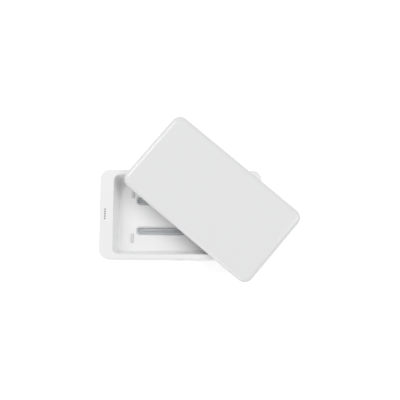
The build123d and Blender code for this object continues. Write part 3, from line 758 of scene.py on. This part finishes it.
def cross_screw(name, at):
    """A pan-head screw with a cross recess, shank up, by the middle of its head's face."""
    head = [(0.0, 0.0), (0.9, 0.02), (1.5, 0.12), (1.8, 0.34)]
    head += [(SCREW_HEAD, 0.6), (SCREW_HEAD, 1.0), (1.0, 1.0)]
    shank = [(1.0, 8.6), (0.7, 9.0), (0.0, 9.0)]
    screw = lathe(name, head + shank, "Z", (0, 0, 0), steps=32)
    tools = []
    for x, y in (RECESS_HALF, RECESS_HALF[::-1]):
        tool = block("recess", (-x, -y, -0.5), (x, y, RECESS_DEPTH))
        pick(tool, "faces", lambda f: f.normal.z > 0.9)
        taper = (RECESS_TAPER, RECESS_TAPER, 1)
        bpy.ops.transform.resize(value=taper, center_override=mm(0, 0, RECESS_DEPTH))
        tools.append(tool)
    cut(screw, *tools)
    smooth(screw, angle=35)
    return moved(screw, *at)


def build_screws(stem, underside, body, node, pose):
    """Four screws let into an underside. pose is done to each last."""
    place = (-SCREW_X, -SCREW_Y, underside + SCREW_SUNK)
    first = cross_screw(f"{stem}_1", place)
    for screw in four_of(first, stem, 2 * SCREW_X, 2 * SCREW_Y):
        pose(screw)
        seat(screw, body, "screw_steel", node)


def lamp_tube(name, length):
    """A hollow quartz tube along X, starting at the origin, with necked ends."""
    outside = [(1.0, 0.0), (1.25, 0.0), (1.6, 0.35), (1.75, 1.0)]
    outside += [(1.75, length - 1.0), (1.6, length - 0.35), (1.25, length), (1.0, length)]
    inside = [(1.3, length - 0.8), (1.45, length - 1.4), (1.45, 1.4), (1.3, 0.8), (1.0, 0.0)]
    return smooth(lathe(name, outside + inside, "X", (0, 0, 0), steps=32), angle=40)


def electrode(name):
    """A cup electrode on its lead, along X from the origin."""
    profile = [(0.0, 0.0), (0.3, 0.0), (0.3, 3.0), (0.85, 3.4), (0.85, 8.0), (0.7, 8.0)]
    profile += [(0.7, 3.8), (0.0, 3.8)]
    return smooth(lathe(name, profile, "X", (0, 0, 0), steps=20), angle=40)


def lamp_cap(name):
    """A pressed cap along X from the origin, with a rolled bead round it."""
    outside = [(0.0, 0.0), (1.7, 0.0), (1.95, 0.1), (2.05, 0.35), (2.05, 4.2), (1.93, 4.4)]
    outside += [(1.93, 4.7), (2.05, 4.9), (2.05, 5.85), (1.95, CAP_LENGTH)]
    inside = [(1.76, CAP_LENGTH), (1.76, 3.0), (0.0, 3.0)]
    return smooth(lathe(name, outside + inside, "X", (0, 0, 0), steps=32), angle=40)


def build_lamps(body, length, spacing, z, pose):
    """Two lamps side by side: tubes, electrodes and caps. pose is done to each piece last."""
    start = MOUTH_X - length / 2
    for n, y in enumerate((-spacing / 2, spacing / 2), 1):
        tube = moved(lamp_tube(f"{body}_tube_{n}", length), start, y, z)
        pose(tube)
        seat(tube, body, "lamp_glass", f"{body}_lamps")
        for end in (0, 1):
            wire = electrode(f"{body}_electrode_{n}{end}")
            cap = lamp_cap(f"{body}_cap_{n}{end}")
            if end:
                turned(wire, 180, "Z")
                turned(cap, 180, "Z")
            tip = start + end * length
            moved(wire, tip, y, z)
            moved(cap, tip + (CAP_LENGTH if end else -CAP_LENGTH), y, z)
            pose(wire)
            pose(cap)
            seat(wire, body, "lamp_cap")
            seat(cap, body, "lamp_cap", f"{body}_lamp_caps")


def build_lid():
    """The lid's shell, soft along its top edge, made closed and then turned."""
    inside = [(-WALL - CEILING_BEVEL, CEILING_Z), (-WALL, CEILING_Z - CEILING_BEVEL)]
    inside += [(-WALL, RIM_Z)]
    foot = [(x - LID_FOOT, RIM_Z + LID_FOOT + y) for x, y in arc(LID_FOOT, -90, 0, 3)]
    shoulder = [
        (LID_SHOULDER * (x - 1), LID_TOP_Z + LID_EDGE * (y - 1)) for x, y in arc(1.0, 0, 90, 14)
    ]
    rings = [grown(OUTLINE, by, z) for by, z in inside + foot + shoulder]
    shell = skin("lid_cover", rings, closed=False)
    smooth(shell)
    askew(shell)
    seat(shell, "lid", "lid_white", "lid_shell")


build_case()
build_tub()
build_rests()
build_foot()
build_button()
build_light()
build_pins()
build_inlet()
build_screws("cover_screw", SHELL_LOW, "base", "bottom_screws", still)
build_lamps("base", *BASE_LAMPS, still)
build_lid()
build_screws("lid_screw", RIM_Z, "lid", "lid_screws", askew)
build_lamps("lid", *LID_LAMPS, askew)

for part in frame["record"]["subparts"]:
    dress(NODES[part["node"]], part["material_slot"])


# ---- floor, light and camera ----
def lay_floor():
    """The floor that keeps the object's shadow."""
    alone()
    bpy.ops.mesh.primitive_plane_add(size=FLOOR_SIZE, location=(0, 0, 0))
    floor = named(bpy.context.object, "floor")
    floor.data.materials.append(floor_finish())


def area_light(name, place, size, power):
    """A rectangular lamp that points at the object."""
    data = bpy.data.lights.new(name, "AREA")
    data.shape = "RECTANGLE"
    data.size, data.size_y = size
    data.energy = power
    light = bpy.data.objects.new(name, data)
    bpy.context.scene.collection.objects.link(light)
    light.location = place
    light.rotation_euler = (Vector(AIM) - Vector(place)).to_track_quat("-Z", "Y").to_euler()


def light_room():
    """A dim white room lights the object, and a white backdrop is what shows."""
    world = bpy.data.worlds.new("studio")
    bpy.context.scene.world = world
    world.use_nodes = True
    tree = world.node_tree
    tree.nodes.clear()
    room = tree.nodes.new("ShaderNodeBackground")
    backdrop = tree.nodes.new("ShaderNodeBackground")
    for shade, strength in ((room, SKY), (backdrop, 1.0)):
        shade.inputs["Color"].default_value = (1, 1, 1, 1)
        shade.inputs["Strength"].default_value = strength
    mix = tree.nodes.new("ShaderNodeMixShader")
    out = tree.nodes.new("ShaderNodeOutputWorld")
    tree.links.new(seen(tree), mix.inputs["Fac"])
    tree.links.new(room.outputs["Background"], mix.inputs[1])
    tree.links.new(backdrop.outputs["Background"], mix.inputs[2])
    tree.links.new(mix.outputs["Shader"], out.inputs["Surface"])


def place_camera():
    """The camera looks at its target from a turn and a height."""
    data = bpy.data.cameras.new("camera")
    data.sensor_width = SENSOR
    data.lens = LENS
    camera = bpy.data.objects.new("camera", data)
    bpy.context.scene.collection.objects.link(camera)
    turn, height = radians(CAMERA_TURN), radians(CAMERA_HEIGHT)
    back = Vector((sin(turn) * cos(height), -cos(turn) * cos(height), sin(height)))
    camera.location = Vector(mm(*TARGET)) + back * CAMERA_REACH
    camera.rotation_euler = (-back).to_track_quat("-Z", "Y").to_euler()
    bpy.context.scene.camera = camera


lay_floor()
for name, lamp in LAMPS.items():
    area_light(name, *lamp)
light_room()
place_camera()
bpy.context.scene.view_settings.view_transform = "Standard"

bpy.context.view_layer.update()
